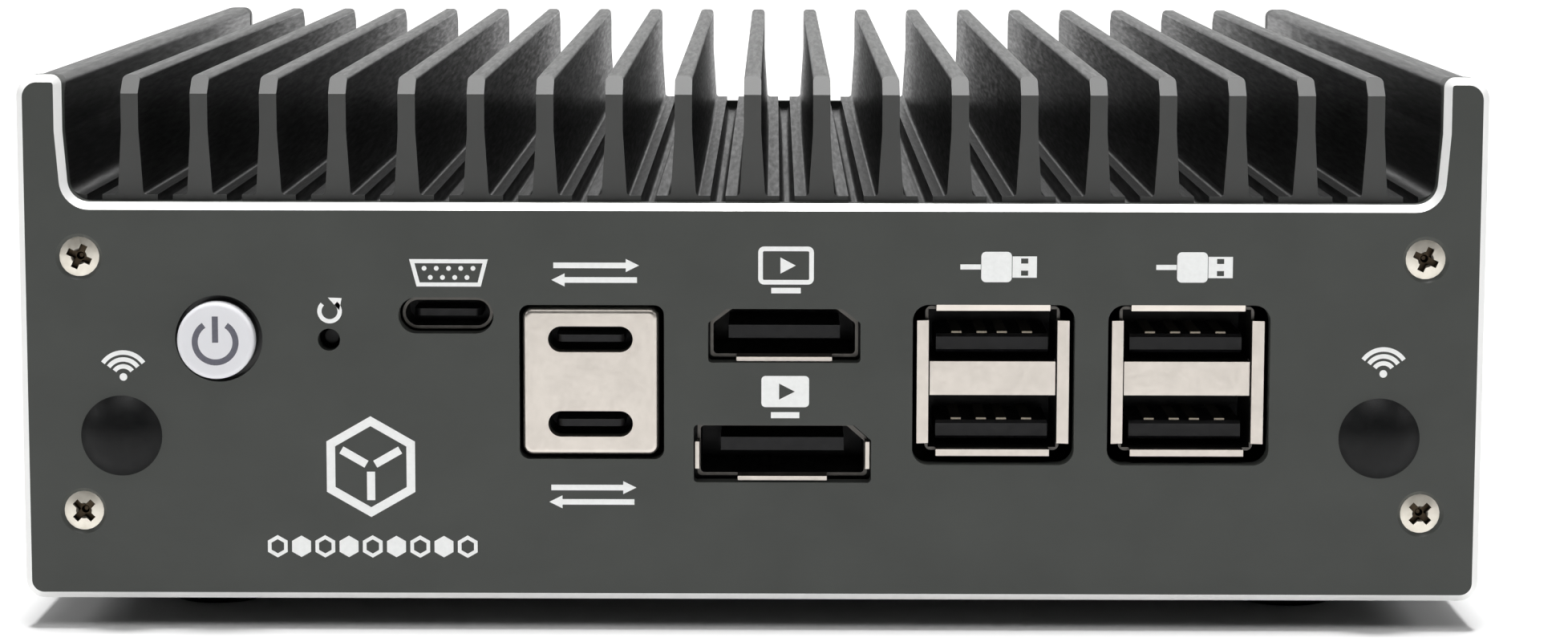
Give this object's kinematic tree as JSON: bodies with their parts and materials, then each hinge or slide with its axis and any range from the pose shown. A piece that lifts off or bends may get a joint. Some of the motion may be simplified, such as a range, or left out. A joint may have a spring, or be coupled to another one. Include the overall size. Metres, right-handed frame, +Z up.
{
  "type": "mini pc",
  "caption": "Fanless small computer: finned aluminium body, notched front plate with ports and a power button, mainboard hung under the heat sink.",
  "frame": {"origin": "middle of the footprint, on the plane the feet stand on", "axes": "+X to the right seen from the front, -Y out of the front plate, +Z up"},
  "size_m": [0.144, 0.1302, 0.055],
  "materials": {
    "anodised_body": "fine matt dark grey anodising on extruded aluminium",
    "anodised_plate": "satin dark grey anodising, bright cut bevel round the edge",
    "cover_paint": "matt dark grey coating on sheet metal",
    "rubber": "matt black rubber",
    "nickel_screw": "nickel-plated steel, satin",
    "black_screw": "blackened steel",
    "white_plastic": "smooth white plastic",
    "grey_symbol": "grey printed inlay",
    "spring_steel": "bright stainless steel",
    "port_steel": "tin-plated steel, smooth and bright",
    "black_plastic": "moulded black plastic",
    "gold_contact": "thin gold plating",
    "brass_fixing": "turned brass",
    "lamp_plastic": "translucent lens",
    "circuit_board": "green solder mask on glass fibre",
    "chip": "moulded black package",
    "copper": "bare copper block, brushed",
    "pad": "soft grey heat pad"
  },
  "bodies": {
    "base": {"antenna_plug_front_left": "rubber", "antenna_plug_front_right": "rubber", "antenna_plug_rear_left": "rubber", "antenna_plug_rear_right": "rubber", "board_components": "chip", "board_screws": "nickel_screw", "board_standoffs": "brass_fixing", "bottom_cover": "cover_paint", "bottom_cover_screws": "black_screw", "coin_cell": "spring_steel", "coin_cell_holder": "black_plastic", "dc_jack_barrel": "port_steel", "dc_jack_body": "black_plastic", "dc_jack_nut": "port_steel", "dc_jack_pin": "gold_contact", "front_plate": "anodised_plate", "front_plate_screws": "nickel_screw", "heat_transfer_block": "copper", "heatsink_case": "anodised_body", "lan_contacts": "gold_contact", "lan_insert_1": "black_plastic", "lan_insert_2": "black_plastic", "lan_insert_3": "black_plastic", "lan_insert_4": "black_plastic", "lan_leds": "lamp_plastic", "lan_shell_1": "port_steel", "lan_shell_2": "port_steel", "lan_shell_3": "port_steel", "lan_shell_4": "port_steel", "mainboard": "circuit_board", "memory_module": "circuit_board", "memory_socket": "black_plastic", "power_button_spring": "spring_steel", "power_switch_body": "black_plastic", "processor": "chip", "rear_plate": "anodised_plate", "rear_plate_screws": "nickel_screw", "reset_switch_body": "black_plastic", "rubber_feet": "rubber", "serial_port_shell": "port_steel", "serial_port_tongue": "black_plastic", "ssd_module": "circuit_board", "ssd_socket": "black_plastic", "thermal_pads": "pad", "usb_a_left_contacts": "gold_contact", "usb_a_left_insulator": "black_plastic", "usb_a_left_shell": "port_steel", "usb_a_right_contacts": "gold_contact", "usb_a_right_insulator": "black_plastic", "usb_a_right_shell": "port_steel", "usb_c_insulator": "black_plastic", "usb_c_shell": "port_steel", "video_housing": "black_plastic", "video_lower_shell": "port_steel", "video_upper_shell": "port_steel"},
    "power_button": {"power_button_cap": "white_plastic", "power_button_symbol": "grey_symbol"},
    "reset_button": {"reset_plunger": "black_plastic"},
    "memory_latch_l": {"memory_latch_left": "spring_steel"},
    "memory_latch_r": {"memory_latch_right": "spring_steel"}
  },
  "joints": [
    {"name": "power_button_press", "type": "slide", "parent": "base", "child": "power_button", "axis": [0, 1, 0], "range_m": [0, 0.0008], "stiffness_N_per_m": 500, "springref_m": -0.0004, "deforming": ["power_button_spring"]},
    {"name": "reset_press", "type": "slide", "parent": "base", "child": "reset_button", "axis": [0, 1, 0], "range_m": [0, 0.0003], "stiffness_N_per_m": 400, "springref_m": -0.0003},
    {"name": "memory_latch_l_spread", "type": "hinge", "parent": "base", "child": "memory_latch_l", "pos_m": [-0.0586, -0.003, 0.0307], "axis": [0, 0, -1], "range_deg": [0, 12], "stiffness_Nm_per_rad": 0.02, "springref_deg": -2.86},
    {"name": "memory_latch_r_spread", "type": "hinge", "parent": "base", "child": "memory_latch_r", "pos_m": [0.0126, -0.003, 0.0307], "axis": [0, 0, 1], "range_deg": [0, 12], "stiffness_Nm_per_rad": 0.02, "springref_deg": -2.86}
  ]
}
